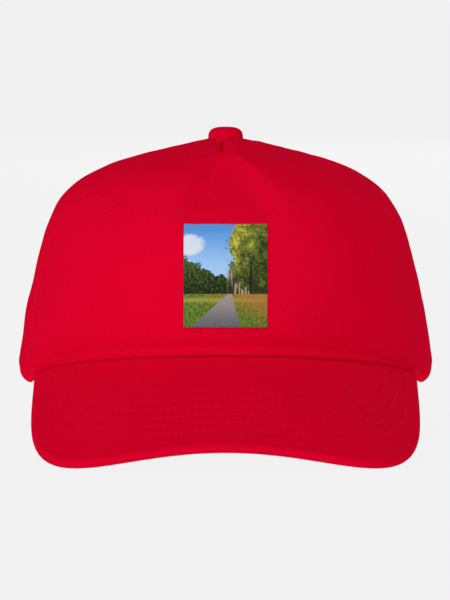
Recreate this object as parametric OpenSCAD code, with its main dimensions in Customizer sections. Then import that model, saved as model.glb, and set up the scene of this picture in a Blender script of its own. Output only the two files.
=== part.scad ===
// Five-panel cap with a curved visor, a covered top button and a strap with a clip buckle.
// X runs across the cap, the visor points to -Y and Z is up from the table it stands on.

/* [Crown] */
// Width of the crown at its rim
crown_w = 187.5; // [165:0.5:205]
// Length of the crown at its rim
crown_l = 200; // [180:1:220]
// Height of the crown's top above the table
crown_top_z = 131.3; // [115:0.1:150]
// Height of the rim above the table at the front centre
rim_front_z = 42.3; // [34:0.1:50]
// Thickness of the panel cloth
cloth_t = 0.9; // [0.5:0.1:1.2]
// Gap between two panels at a seam
seam_gap = 0.3; // [0.2:0.1:0.6]
// Angle of the front panel's side seams at the rim, forward of the cap's sides
front_seam_angle = 19; // [12:1:30]
// Angle that these seams turn back by on their way up to the button
front_seam_turn = 24; // [0:1:26]
// Angle of the rear side seams, behind the cap's sides
rear_seam_angle = 36; // [28:1:46]

/* [Lining] */
// Clearance between two layers of cloth
layer_gap = 0.3; // [0.2:0.05:0.5]
// Thickness of the seam tapes and of the front stiffener
tape_t = 0.6; // [0.4:0.1:0.8]
// Width of the seam tapes
tape_w = 12; // [8:1:16]
// Thickness of the sweatband
sweatband_t = 1; // [0.8:0.1:1.6]
// Height of the sweatband
sweatband_h = 32; // [24:1:38]

/* [Visor] */
// Reach of the visor in front of the crown
visor_reach = 69.5; // [50:0.5:80]
// Distance of the visor's widest part in from the crown's side
visor_inset = 9.2; // [6:0.1:14]
// Squareness of the visor's outline
visor_squareness = 5; // [2.5:0.1:6]
// Rise of the visor's front edge between its corners
visor_arch = 14; // [2:0.5:18]
// Thickness of the visor board
board_t = 2; // [1.4:0.1:2.6]
// Thickness of the visor covers
cover_t = 0.7; // [0.4:0.1:1]
// Width of the rolled hem round the board
hem_w = 2; // [1.6:0.1:3]

/* [Back opening] */
// Width of the back opening
arch_w = 84; // [70:1:92]
// Height of the back opening above the table
arch_h = 46; // [38:1:54]
// Width of the binding round the back opening
binding_w = 6; // [4:0.5:9]

/* [Strap and buckle] */
// Width of the strap
strap_w = 16; // [12:0.5:18]
// Thickness of the strap
strap_t = 1.2; // [0.8:0.1:1.4]
// Height of the strap's lower edge above the table
strap_z = 2.5; // [2.2:0.1:5]
// Inward lean of the strap for each unit of its height
strap_lean = 0.05; // [0.03:0.01:0.07]
// Clearance of the strap in the pocket and in the buckle
strap_play = 0.4; // [0.3:0.05:0.6]
// Thickness of the buckle's sheet metal
buckle_t = 0.9; // [0.7:0.1:1.1]
// Angle that the buckle's lid covers
lid_angle = 11; // [9:0.5:13]
// Radius of the buckle's hinge pin
pin_r = 0.7; // [0.5:0.1:0.9]
// Radial clearance of the buckle's lid on its pin
pin_play = 0.05; // [0.02:0.01:0.1]

/* [Button and eyelets] */
// Radius of the top button
button_r = 7.7; // [6:0.1:9]
// Height of the top button
button_h = 4.8; // [3.5:0.1:6]
// Radius of the rivet through the crown's top
rivet_r = 1.2; // [0.9:0.1:1.6]
// Radius of an eyelet's hole in the cloth
eyelet_r = 2; // [1.5:0.1:2.6]

/* [Print] */
// Width of the printed film
print_w = 36; // [20:1:60]
// Level of the film's lower edge up the front panel, from 0 at the rim to 1 at the top
print_low = 0.065; // [0.05:0.005:0.15]
// Level of the film's upper edge
print_high = 0.38; // [0.3:0.01:0.5]
// Thickness of the printed film
print_t = 0.2; // [0.1:0.05:0.3]

/* [Hidden] */
$fn = 64;

half_w = crown_w / 2;
half_l = crown_l / 2;
crown_y = visor_reach / 2;
arch_r = arch_w / 2;
degrees_per_radian = 180 / PI;

// The crown's profile, as shares of the rim's radius and heights, at the side, front and back.
side_out = [0.843, 0.832];
front_out = [0.93, 0.62];
back_out = [1.02, 0.747];
side_up = [crown_top_z - 13, crown_top_z - 17];
front_up = [crown_top_z - 23, crown_top_z - 6];
back_up = [crown_top_z - 60, crown_top_z - 6];

// The rim falls from the front to the two corners of the back opening, which touch the table.
rim_fall_l = half_l + half_l * sqrt(1 - pow(arch_w / crown_w, 2));
rim_bend = 1.04;

// Rows up the crown, shared by all its layers so that their facets run side by side.
rows = 24;
top_level = 0.985;
panel_levels = [for (i = [0:rows]) min(i / rows, top_level)];
stiffener_levels = [for (i = [0:20]) i / rows];
facet_angle = 6;

// The strap runs on the circle that follows the back of the rim, inside its flattest part.
strap_side_angle = 47.6;
strap_side = rim_point(strap_side_angle);
strap_cy = (pow(half_l, 2) - pow(norm(strap_side), 2)) / (2 * (half_l - strap_side[1]));
rim_r = half_l - strap_cy;
rim_flat = max([for (t = [strap_side_angle:90]) rim_r - norm(rim_point(t) - [0, strap_cy])]);

// Depths of the layers below the crown's outer face.
lining_in = cloth_t + layer_gap;
sweatband_in = lining_in + tape_t + 0.4;
strap_in = cloth_t + 0.4 + rim_flat;
strap_pocket = strap_in + 2 * (strap_t + strap_play) + 0.3 - sweatband_in;
short_strap_r = rim_r - strap_in;
long_strap_r = short_strap_r - strap_t - strap_play;
plate_r = long_strap_r - strap_t - strap_play;
bar_r = 0.8;
eye_r = bar_r + 0.1 + 0.85;
knuckle_r = pin_r + 0.8;
nose_reach = knuckle_r + 0.65;
bar_at = long_strap_r + strap_play + eye_r;
pin_at = long_strap_r + strap_play + nose_reach;
cheek_r = pin_at + knuckle_r;
cheek_z = strap_z - strap_play - buckle_t;
cheek_gap = strap_w + 2 * strap_play;
strap_top_z = strap_z + strap_w;
pin_angle = -9.6;
lid_end = pin_angle - lid_angle;
bar_angle = lid_end - 3.1;

button_under_z = crown_top_z + 0.3;
washer_t = 0.8;
washer_z = crown_top_z - cloth_t - 2.6 - washer_t;
eyelet_level = 0.66;
eyelet_angles = [17, 64, 116, 163];

// The visor starts where the rim is a little narrower than the visor's widest part.
visor_half_w = half_w - visor_inset;
visor_step = 0.26;
visor_root = half_l * sqrt(1 - pow((visor_half_w - visor_step) / half_w, 2));
visor_depth = half_l + visor_reach - visor_root;
visor_t = board_t + 2 * cover_t + 0.2;
visor_corner_z = visor_t - 1.5;
visor_corner_y = 19.5;
visor_arch_bend = 1.1;
visor_root_angle = 4;
visor_rows = 7;
visor_cols = 44;

function bezier(a, b, c, d, s) =
    a * pow(1 - s, 3) + 3 * b * pow(1 - s, 2) * s + 3 * c * (1 - s) * s * s + d * pow(s, 3);
function unit(v) = v / norm(v);
function ease(f) = f <= 0 ? 0 : f >= 1 ? 1 : f * f * (3 - 2 * f);
function rim_point(t) = [half_w * cos(t), half_l * sin(t)];

// Height of the rim at a distance y behind the crown's centre.
function rim_z(y) = rim_front_z * (1 - pow(max(0, (y + half_l) / rim_fall_l), rim_bend));

// A profile value at an angle round the crown, counted from the right side towards the back.
function around(side, front, back, t) =
    side * pow(cos(t), 2) + (sin(t) < 0 ? front : back) * pow(sin(t), 2);
function share(t, s) = bezier(
    1, around(side_out[0], front_out[0], back_out[0], t),
    around(side_out[1], front_out[1], back_out[1], t), 0, s);
function height(t, s) = bezier(
    rim_z(half_l * sin(t)), around(side_up[0], front_up[0], back_up[0], t),
    around(side_up[1], front_up[1], back_up[1], t), crown_top_z, s);
function outer_face(t, s) =
    [half_w * share(t, s) * cos(t), crown_y + half_l * share(t, s) * sin(t), height(t, s)];
function outward(t, s) = unit(cross(
    outer_face(t + 1, s) - outer_face(t - 1, s), outer_face(t, s + 0.01) - outer_face(t, s - 0.01)));
function wall(t, s, depth) = outer_face(t, s) - depth * outward(t, s);

// The angle at a set distance along the wall from the angle t.
function beside(t, s, distance) =
    t + distance / (share(t, s) * norm(rim_point(t))) * degrees_per_radian;

// The seams, as angles at each level. The front seams turn back between two levels.
front_seam_levels = [0.28, 0.98];
function front_seam(s) = front_seam_angle - front_seam_turn
    * ease((s - front_seam_levels[0]) / (front_seam_levels[1] - front_seam_levels[0]));
left_front = function(s) 180 + front_seam(s);
right_front = function(s) 360 - front_seam(s);
right_rear = function(s) 360 + rear_seam_angle;
left_rear = function(s) 180 - rear_seam_angle;
back = function(s) 90;
back_again = function(s) 450;

// The level at a height above the rim.
function level_above_rim(t, h) =
    let (q = h / (3 * (around(side_up[0], front_up[0], back_up[0], t) - rim_z(half_l * sin(t)))))
    q * (1 + q);

// The sweatband stands off the wall behind the strap's sewn ends.
function pocket_share(t) =
    ease((sin(t) - 0.36) / 0.3);
function sweatband_depth(t) = sweatband_in + strap_pocket * pocket_share(t);

// The visor runs out from a point on the crown's centre line, at an angle from the right side.
function rim_ray(a) =
    let (
        p = pow(cos(a) / half_w, 2) + pow(sin(a) / half_l, 2),
        q = 2 * visor_root * sin(a) / pow(half_l, 2),
        r = pow(visor_root / half_l, 2) - 1)
    (sqrt(q * q - 4 * p * r) - q) / (2 * p);
function edge_ray(a) = pow(
    pow(abs(cos(a)) / visor_half_w, visor_squareness)
    + pow(sin(a) / visor_depth, visor_squareness), -1 / visor_squareness);
function visor_plan(a, ray) = [ray * cos(a), -visor_root - ray * sin(a)];
function edge_z(p) =
    let (
        root_z = rim_z(-visor_root),
        corner = half_l + visor_reach - visor_corner_y,
        fall = (root_z - visor_corner_z) / (corner - visor_root))
    visor_corner_z + (p[1] + corner) * fall
    + visor_arch * pow(cos(90 * min(1, abs(p[0]) / visor_half_w)), visor_arch_bend);
function visor_face(a, w) =
    let (
        inner = visor_plan(a, rim_ray(a)),
        outer = visor_plan(a, edge_ray(a)),
        low = [inner[0], inner[1] + crown_y, rim_z(inner[1]) - layer_gap],
        far = [outer[0], outer[1] + crown_y, edge_z(outer)])
    low + (far - low) * w;
function visor_up(a, w) = unit(cross(
    visor_face(a + 1, w) - visor_face(a - 1, w), visor_face(a, w + 0.05) - visor_face(a, w - 0.05)));
function visor(a, w, depth) = visor_face(a, w) - depth * visor_up(a, w);
function visor_share(a, from_edge) =
    let (run = edge_ray(a) - rim_ray(a))
    1 - min(from_edge, 0.45 * run) / run;
function visor_angle(j) =
    visor_root_angle + (180 - 2 * visor_root_angle) * j / visor_cols;

// A closed solid between two grids of points, the first one on the outside.
module slab(outside, inside) {
    n = len(outside);
    m = len(outside[0]);
    points = [for (grid = [outside, inside]) for (row = grid) for (p = row) p];
    function a(i, j) = i * m + j;
    function b(i, j) = n * m + i * m + j;
    function pair(p, q, r, s) = [[p, q, r], [p, r, s]];
    faces = [
        for (i = [0:n - 2]) for (j = [0:m - 2])
            each concat(
                pair(a(i, j), a(i + 1, j), a(i + 1, j + 1), a(i, j + 1)),
                pair(b(i, j), b(i, j + 1), b(i + 1, j + 1), b(i + 1, j))),
        for (j = [0:m - 2])
            each concat(
                pair(a(0, j), a(0, j + 1), b(0, j + 1), b(0, j)),
                pair(a(n - 1, j + 1), a(n - 1, j), b(n - 1, j), b(n - 1, j + 1))),
        for (i = [0:n - 2])
            each concat(
                pair(a(i + 1, 0), a(i, 0), b(i, 0), b(i + 1, 0)),
                pair(a(i, m - 1), a(i + 1, m - 1), b(i + 1, m - 1), b(i, m - 1))),
    ];
    polyhedron(points, faces);
}

// A layer of the crown between two seams, set in by a gap on each side.
module crown_layer(from, to, gap, levels, depth, thickness) {
    cols = ceil((to(0) - from(0)) / facet_angle);
    function grid(d) = [
        for (s = levels)
            let (start = beside(from(s), s, gap), end = beside(to(s), s, -gap))
            [for (j = [0:cols]) wall(start + (end - start) * j / cols, s, d)]];
    slab(grid(depth), grid(depth + thickness));
}

module panel(from, to) {
    crown_layer(from, to, seam_gap / 2, panel_levels, 0, cloth_t);
}

// Puts things on the crown's outer face, with Z along its normal.
module on_crown(t, s) {
    n = outward(t, s);
    translate(outer_face(t, s)) rotate([0, acos(n[2]), atan2(n[1], n[0])]) children();
}

module eyelet_holes() {
    for (t = eyelet_angles)
        on_crown(t, eyelet_level) cylinder(h = 8, r = eyelet_r, center = true);
}

// The back opening's outline, widened by an amount, as a round bar through the back.
module back_opening(wider) {
    translate([0, crown_y + half_l / 2, arch_h - arch_r]) rotate([-90, 0, 0])
        cylinder(h = crown_l, r = arch_r + wider);
    translate([-arch_r - wider, crown_y + half_l / 2, arch_h - arch_r - crown_l])
        cube([arch_w + 2 * wider, crown_l, crown_l]);
}

// Seam tapes narrow towards the top so that they meet without lying on each other, and end
// round the washer.
module seam_tape(seam) {
    top = seam(top_level);
    out = around(side_out[1], front_out[1], back_out[1], top) * norm(rim_point(top));
    levels = concat([for (i = [0:rows - 2]) i / rows], [1 - (button_r + 1.6) / (3 * out)]);
    function half(s) = min(tape_w / 2, 0.22 * share(seam(s), s) * half_w);
    function grid(d) = [
        for (s = levels)
            [for (j = [-1:1]) wall(beside(seam(s), s, j * half(s)), s, d)]];
    slab(grid(lining_in), grid(lining_in + tape_t));
}

module front_panel() {
    color("crimson") panel(left_front, right_front);
}

module left_side_panel() {
    color("crimson") difference() {
        panel(left_rear, left_front);
        eyelet_holes();
    }
}

module right_side_panel() {
    color("crimson") difference() {
        panel(right_front, right_rear);
        eyelet_holes();
    }
}

module left_back_panel() {
    color("crimson") difference() {
        panel(back, left_rear);
        eyelet_holes();
        back_opening(0);
    }
}

module right_back_panel() {
    color("crimson") difference() {
        panel(right_rear, back_again);
        eyelet_holes();
        back_opening(0);
    }
}

module front_stiffener() {
    color("white") crown_layer(left_front, right_front,
        tape_w / 2 + 0.7, stiffener_levels, lining_in, tape_t);
}

module left_front_seam_tape() {
    color("firebrick") seam_tape(left_front);
}

module right_front_seam_tape() {
    color("firebrick") seam_tape(right_front);
}

module left_rear_seam_tape() {
    color("firebrick") seam_tape(left_rear);
}

module right_rear_seam_tape() {
    color("firebrick") seam_tape(right_rear);
}

module back_seam_tape() {
    color("firebrick") difference() {
        seam_tape(back);
        back_opening(binding_w + 0.4);
    }
}

module back_opening_binding() {
    color("firebrick") difference() {
        intersection() {
            crown_layer(function(s) 54, function(s) 126, 0, [for (i = [0:12]) i / rows],
                lining_in, tape_t);
            back_opening(binding_w);
        }
        back_opening(0);
        translate([-crown_w, 0, -crown_l]) cube([2 * crown_w, crown_l, crown_l + strap_top_z + layer_gap]);
    }
}

// The sweatband runs from one side of the back opening round the front to the other.
module sweatband_layer(from, to, low, high, stand_off, thickness, steps) {
    function grid(extra) = [
        for (i = [0:steps])
            let (h = low + (high - low) * i / steps)
            [for (t = [from:facet_angle / 2:to + 0.01])
                wall(t, level_above_rim(t, h), sweatband_depth(t) + stand_off + extra)]];
    slab(grid(0), grid(thickness));
}

module sweatband() {
    side = acos((arch_r + 1) / half_w);
    color("darkred") sweatband_layer(180 - side, 360 + side, 0.6, sweatband_h, 0, sweatband_t, 4);
}

module inside_label() {
    color("white") sweatband_layer(160, 180, 8, 26, sweatband_t + layer_gap, 0.4, 2);
}

module vent_eyelets() {
    thread_t = 0.6;
    color("crimson") for (t = eyelet_angles)
        on_crown(t, eyelet_level) rotate_extrude() {
            translate([eyelet_r - 0.5, -cloth_t - 0.4])
                square([0.4, cloth_t + 0.5]);
            translate([eyelet_r - 0.5, 0.1])
                square([2.4, thread_t]);
        }
}

// A dome's half outline, flat below, for turning about Z.
module dome_half(r, h) {
    intersection() {
        translate([0, h - (r * r + h * h) / (2 * h)]) circle(r = (r * r + h * h) / (2 * h));
        square([r, h]);
    }
}

module button_cover() {
    color("crimson") translate([0, crown_y, button_under_z]) rotate_extrude() difference() {
        dome_half(button_r, button_h);
        dome_half(button_r - 0.6, button_h - 0.6);
    }
}

module button_shell() {
    color("silver") translate([0, crown_y, button_under_z]) rotate_extrude() difference() {
        dome_half(button_r - 0.7, button_h - 0.7);
        dome_half(button_r - 1.5, button_h - 1.5);
    }
}

module button_rivet() {
    top = button_under_z + button_h - 1.7;
    color("silver") {
        translate([0, crown_y, washer_z - 0.8]) cylinder(h = 0.8, r = 2 * rivet_r);
        translate([0, crown_y, washer_z - 0.8]) cylinder(h = top - washer_z + 0.8, r = rivet_r);
    }
}

module button_washer() {
    color("silver") translate([0, crown_y, washer_z]) difference() {
        cylinder(h = washer_t, r = button_r);
        translate([0, 0, -1]) cylinder(h = washer_t + 2, r = rivet_r + 0.02);
    }
}

// A layer of the visor. Each row is [share of the board's run, distance from the edge, depths].
module visor_layer(edge_rows, top, bottom) {
    board = [for (i = [0:visor_rows]) [i / visor_rows, hem_w + 0.3, top, bottom]];
    all_rows = concat(board, edge_rows);
    function grid(k) = [
        for (row = all_rows)
            [for (j = [0:visor_cols])
                let (a = visor_angle(j))
                visor(a, row[0] * visor_share(a, row[1]), row[k])]];
    slab(grid(2), grid(3));
}

module visor_board() {
    color("white") visor_layer([], cover_t + 0.1, cover_t + 0.1 + board_t);
}

module visor_top_cover() {
    deep = cover_t + board_t + 0.15;
    color("crimson") visor_layer([
        [1, hem_w - 0.1, 0, cover_t],
        [1, hem_w - 0.3, 0, deep],
        [1, 0, 0, deep],
    ], 0, cover_t);
}

module visor_under_cover() {
    color("crimson") visor_layer([
        [1, hem_w - 0.1, visor_t - cover_t, visor_t],
        [1, 0, visor_t - cover_t, visor_t],
    ], visor_t - cover_t, visor_t);
}

// The film lies on the front panel's outer face, at one width over its whole height.
module print_film() {
    steps = 12;
    function at(i, j, d) =
        let (
            s = print_low + (print_high - print_low) * i / steps,
            x = print_w * (j / steps - 0.5))
        wall(270 + asin(x / (half_w * share(270, s))), s, d);
    function grid(d) = [for (i = [0:steps]) [for (j = [0:steps]) at(i, j, d)]];
    color("lightskyblue") slab(grid(-0.1 - print_t), grid(-0.1));
}

// A profile of [radius, height] points, swept round the strap's circle and leaning in with the
// wall behind it. Angles count from the back, towards the right side.
module arc_profile(from, to, z, profile) {
    translate([0, crown_y + strap_cy, z]) rotate([0, 0, 90 - to]) rotate_extrude(angle = to - from)
        polygon([for (p = profile) [p[0] - strap_lean * (z + p[1] - strap_z), p[1]]]);
}

module arc(inner, outer, from, to, z, h) {
    arc_profile(from, to, z, [[inner, 0], [outer, 0], [outer, h], [inner, h]]);
}

// Puts an upright part on the strap's circle.
module on_strap(r, angle, z) {
    translate([r * sin(angle), crown_y + strap_cy + r * cos(angle), z]) children();
}

module adjuster_strap() {
    color("crimson") arc(long_strap_r - strap_t, long_strap_r, -44, 42, strap_z, strap_w);
}

module buckle_strap() {
    color("crimson") difference() {
        union() {
            arc(short_strap_r - strap_t, short_strap_r, -46, bar_angle, strap_z, strap_w);
            on_strap(bar_at, bar_angle, strap_z) cylinder(h = strap_w, r = eye_r);
        }
        on_strap(bar_at, bar_angle, strap_z - 1) cylinder(h = strap_w + 2, r = bar_r + 0.1);
    }
}

module buckle_frame() {
    frame_h = 2 * buckle_t + cheek_gap;
    upper = buckle_t + cheek_gap;
    color("silver") difference() {
        union() {
            arc_profile(bar_angle - 1.4, pin_angle + 1.6, cheek_z, [
                [plate_r - buckle_t, 0], [cheek_r, 0], [cheek_r, buckle_t], [plate_r, buckle_t],
                [plate_r, upper], [cheek_r, upper], [cheek_r, frame_h], [plate_r - buckle_t, frame_h],
            ]);
            on_strap(bar_at, bar_angle, cheek_z + buckle_t / 2)
                cylinder(h = frame_h - buckle_t, r = bar_r);
        }
        on_strap(pin_at, pin_angle, cheek_z - 1) cylinder(h = frame_h + 2, r = pin_r + 0.02);
    }
}

module buckle_pin() {
    color("silver") on_strap(pin_at, pin_angle, cheek_z - 0.2)
        cylinder(h = 2 * buckle_t + cheek_gap + 0.4, r = pin_r);
}

module buckle_lid() {
    lid_z = cheek_z + buckle_t + strap_play;
    lid_h = strap_w;
    color("silver") difference() {
        union() {
            arc(bar_at + 0.3, bar_at + 0.3 + buckle_t, lid_end, pin_angle, lid_z, lid_h);
            on_strap(pin_at, pin_angle, lid_z) cylinder(h = lid_h, r = knuckle_r);
            on_strap(pin_at, pin_angle, lid_z) rotate([0, 0, -pin_angle])
                translate([-0.4, -nose_reach + 0.05, 0]) cube([0.8, nose_reach, lid_h]);
        }
        on_strap(pin_at, pin_angle, lid_z - 1) cylinder(h = lid_h + 2, r = pin_r + pin_play);
    }
}

front_panel();
left_side_panel();
right_side_panel();
left_back_panel();
right_back_panel();
front_stiffener();
left_front_seam_tape();
right_front_seam_tape();
left_rear_seam_tape();
right_rear_seam_tape();
back_seam_tape();
back_opening_binding();
sweatband();
inside_label();
vent_eyelets();
button_cover();
button_shell();
button_rivet();
button_washer();
visor_board();
visor_top_cover();
visor_under_cover();
print_film();
adjuster_strap();
buckle_strap();
buckle_frame();
buckle_pin();
buckle_lid();
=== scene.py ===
"""Looks of the five-panel cap: cloth, stitching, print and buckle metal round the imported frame."""
import math
import bpy
import numpy as np
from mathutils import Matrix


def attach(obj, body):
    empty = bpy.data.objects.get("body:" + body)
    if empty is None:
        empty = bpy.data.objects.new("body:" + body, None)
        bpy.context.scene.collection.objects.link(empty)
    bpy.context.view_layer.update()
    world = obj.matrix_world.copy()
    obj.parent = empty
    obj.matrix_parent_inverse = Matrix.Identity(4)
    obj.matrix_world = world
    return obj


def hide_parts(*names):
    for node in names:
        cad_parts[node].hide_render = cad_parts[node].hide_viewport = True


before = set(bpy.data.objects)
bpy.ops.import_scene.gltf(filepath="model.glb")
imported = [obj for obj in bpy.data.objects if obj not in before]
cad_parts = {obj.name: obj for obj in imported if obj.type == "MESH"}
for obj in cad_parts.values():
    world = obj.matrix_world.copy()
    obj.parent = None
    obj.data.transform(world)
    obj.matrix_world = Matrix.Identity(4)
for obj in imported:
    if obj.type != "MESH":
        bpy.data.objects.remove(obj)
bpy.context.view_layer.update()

# ---- sizes, in metres

MM = 0.001
HALF_W = 93.75 * MM
HALF_L = 100 * MM
CROWN_Y = 34.75 * MM
TOP_Z = 131.3 * MM
RIM_FRONT_Z = 42.3 * MM
RIM_BEND = 1.04
ARCH_W = 84 * MM
ARCH_H = 46 * MM
VISOR_REACH = 69.5 * MM
VISOR_HALF_W = HALF_W - 9.2 * MM
VISOR_ROOT = HALF_L * math.sqrt(1 - ((VISOR_HALF_W - 0.26 * MM) / HALF_W) ** 2)
VISOR_SQUARENESS = 5.0
VISOR_ARCH = 14 * MM
VISOR_ARCH_BEND = 1.1
VISOR_CORNER_Y = 19.5 * MM
VISOR_T = 3.6 * MM
VISOR_CORNER_Z = VISOR_T - 1.5 * MM
CLOTH_T = 0.9 * MM
PANEL_STEP = 1.5 * MM
PANEL_SLACK = 0.28 * MM
SEAM_STITCH = 3.2 * MM
STITCH_SUNK = 0.30 * MM
LINING_IN = 1.2 * MM
TAPE_T = 0.6 * MM
TAPE_W = 12 * MM
BAND_H = 32 * MM
FRONT_SEAM_ANGLE = 19.0
FRONT_SEAM_TURN = 24.0
REAR_SEAM_ANGLE = 36.0
EYELET_LEVEL = 0.66
EYELET_ANGLES = (17, 64, 116, 163)
FRONT, BACK = 270.0, 90.0
STRAP_W = 16 * MM
STRAP_T = 1.2 * MM
STRAP_Z = 2.5 * MM
STRAP_LEAN = 0.05
STRAP_MEETS_RIM = 47.6
STRAP_GAP = 0.4 * MM
BAR_ANGLE = -23.7
PRINT_W = 36 * MM
PRINT_LOW, PRINT_HIGH = 0.065, 0.38
BUTTON_R = 7.7 * MM
BUTTON_H = 4.8 * MM
BUTTON_SQUARENESS = 3.0
STITCH_PITCH = 3.0 * MM
STITCH_LENGTH = 2.2 * MM

# ---- camera, first of all


def make_camera():
    """A long lens level with the crown's middle, a little above the table."""
    distance = 2.6
    elevation = math.radians(5)
    frame_height = 0.2676
    target = (-0.00025, CROWN_Y, 0.05785)
    data = bpy.data.cameras.new("camera")
    data.sensor_width = 36
    data.lens = data.sensor_width * distance / frame_height
    data.clip_end = 20
    camera = bpy.data.objects.new("camera", data)
    bpy.context.scene.collection.objects.link(camera)
    camera.location = (
        target[0],
        target[1] - distance * math.cos(elevation),
        target[2] + distance * math.sin(elevation))
    camera.rotation_euler = (math.pi / 2 - elevation, 0, 0)
    bpy.context.scene.camera = camera
    bpy.context.scene.view_settings.view_transform = "Standard"


make_camera()

# ---- the crown's and visor's shape


def sind(a):
    return np.sin(np.radians(a))


def cosd(a):
    return np.cos(np.radians(a))


def unit(v):
    return v / np.linalg.norm(v, axis=-1, keepdims=True)


def bell(x, width):
    return np.exp(-(x / width) ** 2)


def smooth(x, low, high):
    f = np.clip((x - low) / (high - low), 0, 1)
    return f * f * (3 - 2 * f)


def quarter_round(f, least=0.0):
    """Height of a quarter circle at a share f of its radius in from its edge."""
    return np.sqrt(np.clip(1 - (1 - np.clip(f, 0, 1)) ** 2, least, 1))


def run_along(path):
    """Distance along a polyline from its first point."""
    return np.r_[0, np.cumsum(np.linalg.norm(np.diff(path, axis=0), axis=-1))]


def bezier(a, b, c, d, s):
    return a * (1 - s) ** 3 + 3 * b * (1 - s) ** 2 * s + 3 * c * (1 - s) * s ** 2 + d * s ** 3


def rim_z(y):
    """Height of the rim at a distance y behind the crown's centre."""
    fall = HALF_L + HALF_L * math.sqrt(1 - (ARCH_W / 2 / HALF_W) ** 2)
    return RIM_FRONT_Z * (1 - np.maximum(0, (y + HALF_L) / fall) ** RIM_BEND)


def around(side, front, back, t):
    """A profile value at an angle from the right side towards the back."""
    return side * cosd(t) ** 2 + np.where(sind(t) < 0, front, back) * sind(t) ** 2


def share(t, s):
    """The crown's half width at a level, as a share of the rim's."""
    return bezier(1, around(0.843, 0.93, 1.02, t), around(0.832, 0.62, 0.747, t), 0, s)


def lower_pull(t):
    """Height that draws the profile's lower half outwards and upwards."""
    return around(TOP_Z - 13 * MM, TOP_Z - 23 * MM, TOP_Z - 60 * MM, t)


def upper_pull(t):
    """Height that rounds the profile's upper half."""
    return around(TOP_Z - 17 * MM, TOP_Z - 6 * MM, TOP_Z - 6 * MM, t)


def crown(t, s):
    """A point of the crown's outer face, at an angle and a level from the rim to the top."""
    t, s = np.broadcast_arrays(np.asarray(t, float), np.asarray(s, float))
    k = share(t, s)
    z = bezier(rim_z(HALF_L * sind(t)), lower_pull(t), upper_pull(t), TOP_Z, s)
    return np.stack([HALF_W * k * cosd(t), CROWN_Y + HALF_L * k * sind(t), z], -1)


def crown_out(t, s):
    """The crown's outward normal."""
    s = np.minimum(s, 0.985)
    round_it = crown(t + 0.5, s) - crown(t - 0.5, s)
    up = crown(t, s + 0.005) - crown(t, s - 0.005)
    return unit(np.cross(round_it, up))


def wall(t, s, depth):
    """A point at a depth under the crown's outer face."""
    return crown(t, s) - np.asarray(depth)[..., None] * crown_out(t, s)


def radius(t, s):
    """Distance from the crown's upright axis."""
    return share(t, s) * np.hypot(HALF_W * cosd(t), HALF_L * sind(t))


def beside(t, s, distance):
    """The angle at a distance along the wall from the angle t."""
    return t + np.degrees(distance / radius(t, s))


def levels_at(t, spacing, fine=0.0, fine_h=0.0, top=0.992):
    """Levels up the wall at an even spacing, with closer ones near the rim."""
    s = np.linspace(0, top, 1200)
    run = run_along(crown(t, s))
    low = np.arange(0, fine_h, fine) if fine else np.zeros(0)
    high = np.linspace(fine_h, run[-1], int((run[-1] - fine_h) / spacing))
    return np.interp(np.r_[low, high], run, s)


def level_above(t, h):
    """The level at a height above the rim."""
    q = h / (3 * (lower_pull(t) - rim_z(HALF_L * sind(t))))
    return q * (1 + q)


def rim_ray(a):
    """Distance from the visor's root point to the rim, at an angle from the right side."""
    p = (cosd(a) / HALF_W) ** 2 + (sind(a) / HALF_L) ** 2
    q = 2 * VISOR_ROOT * sind(a) / HALF_L ** 2
    r = (VISOR_ROOT / HALF_L) ** 2 - 1
    return (np.sqrt(q * q - 4 * p * r) - q) / (2 * p)


def edge_ray(a):
    """Distance from the visor's root point to its outline."""
    x = np.abs(cosd(a)) / VISOR_HALF_W
    y = np.abs(sind(a)) / (HALF_L + VISOR_REACH - VISOR_ROOT)
    return (x ** VISOR_SQUARENESS + y ** VISOR_SQUARENESS) ** (-1 / VISOR_SQUARENESS)


def edge_z(x, y):
    """Height of the visor's edge at a point of its outline, y behind the crown's centre."""
    corner = HALF_L + VISOR_REACH - VISOR_CORNER_Y
    fall = (rim_z(-VISOR_ROOT) - VISOR_CORNER_Z) / (corner - VISOR_ROOT)
    middle = np.cos(np.pi / 2 * np.minimum(1, np.abs(x) / VISOR_HALF_W)) ** VISOR_ARCH_BEND
    return VISOR_CORNER_Z + (y + corner) * fall + VISOR_ARCH * middle


def visor_face(a, w):
    """A point of the visor's top face, at an angle and a share of the way from the rim to the edge."""
    a, w = np.broadcast_arrays(np.asarray(a, float), np.asarray(w, float))
    inner, outer = rim_ray(a), edge_ray(a)
    inner_y = -VISOR_ROOT - inner * sind(a)
    outer_y = -VISOR_ROOT - outer * sind(a)
    low = np.stack([inner * cosd(a), inner_y + CROWN_Y, rim_z(inner_y) - 0.3 * MM], -1)
    far = np.stack([outer * cosd(a), outer_y + CROWN_Y, edge_z(outer * cosd(a), outer_y)], -1)
    return low + (far - low) * w[..., None]


def visor_point(a, w, depth):
    """A point at a depth under the visor's top face."""
    across = visor_face(a + 0.5, w) - visor_face(a - 0.5, w)
    out = visor_face(a, w + 0.02) - visor_face(a, w - 0.02)
    return visor_face(a, w) - np.asarray(depth)[..., None] * unit(np.cross(across, out))


# ---- shader helper


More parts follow.
